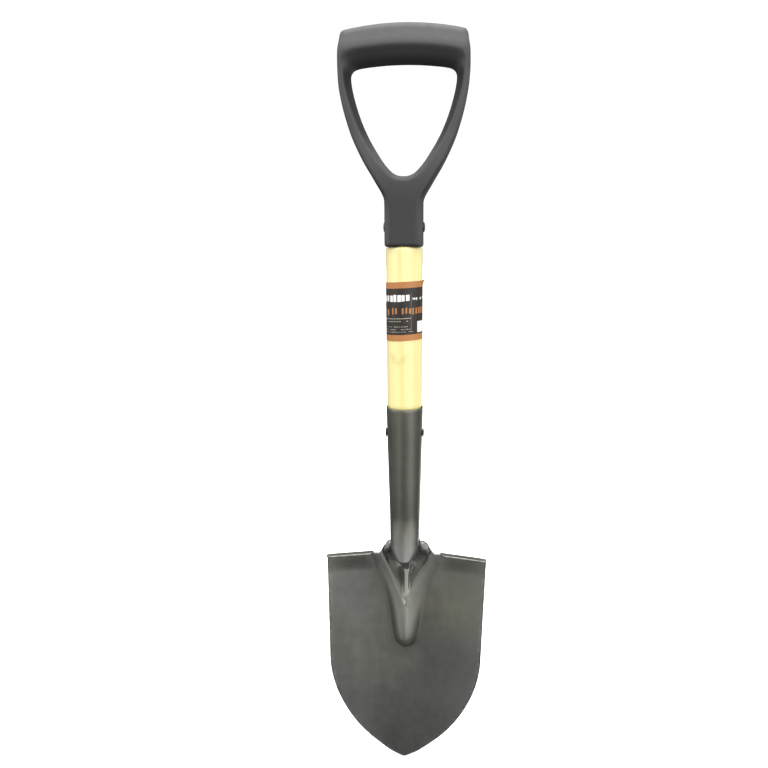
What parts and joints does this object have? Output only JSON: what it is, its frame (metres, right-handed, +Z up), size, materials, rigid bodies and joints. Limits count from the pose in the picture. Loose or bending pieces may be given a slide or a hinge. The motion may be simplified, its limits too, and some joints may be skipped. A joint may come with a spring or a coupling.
{
  "type": "camp shovel",
  "caption": "Short digging shovel: moulded D-grip on a wooden shaft, riveted into a tapered steel socket welded to a pointed, dished blade with folded treads.",
  "frame": {"origin": "middle of the underside of the grip bar, where the tool hangs on a peg", "axes": "+Z up along the shaft towards the grip, loading face of the blade along -Y, X across the treads"},
  "size_m": [0.1536, 0.05, 0.6877],
  "materials": {
    "coated_steel": "satin olive-grey coating",
    "moulded_plastic": "fine texture",
    "lacquered_wood": "clear lacquer",
    "rivet_steel": "dark",
    "label_film": "printed film"
  },
  "bodies": {
    "root": {"blade": "coated_steel", "socket": "coated_steel", "neck_weld_left": "coated_steel", "neck_weld_right": "coated_steel", "shaft": "lacquered_wood", "d_grip": "moulded_plastic", "grip_rivet": "rivet_steel", "socket_rivet": "rivet_steel", "label_wrap": "label_film"}
  },
  "joints": []
}
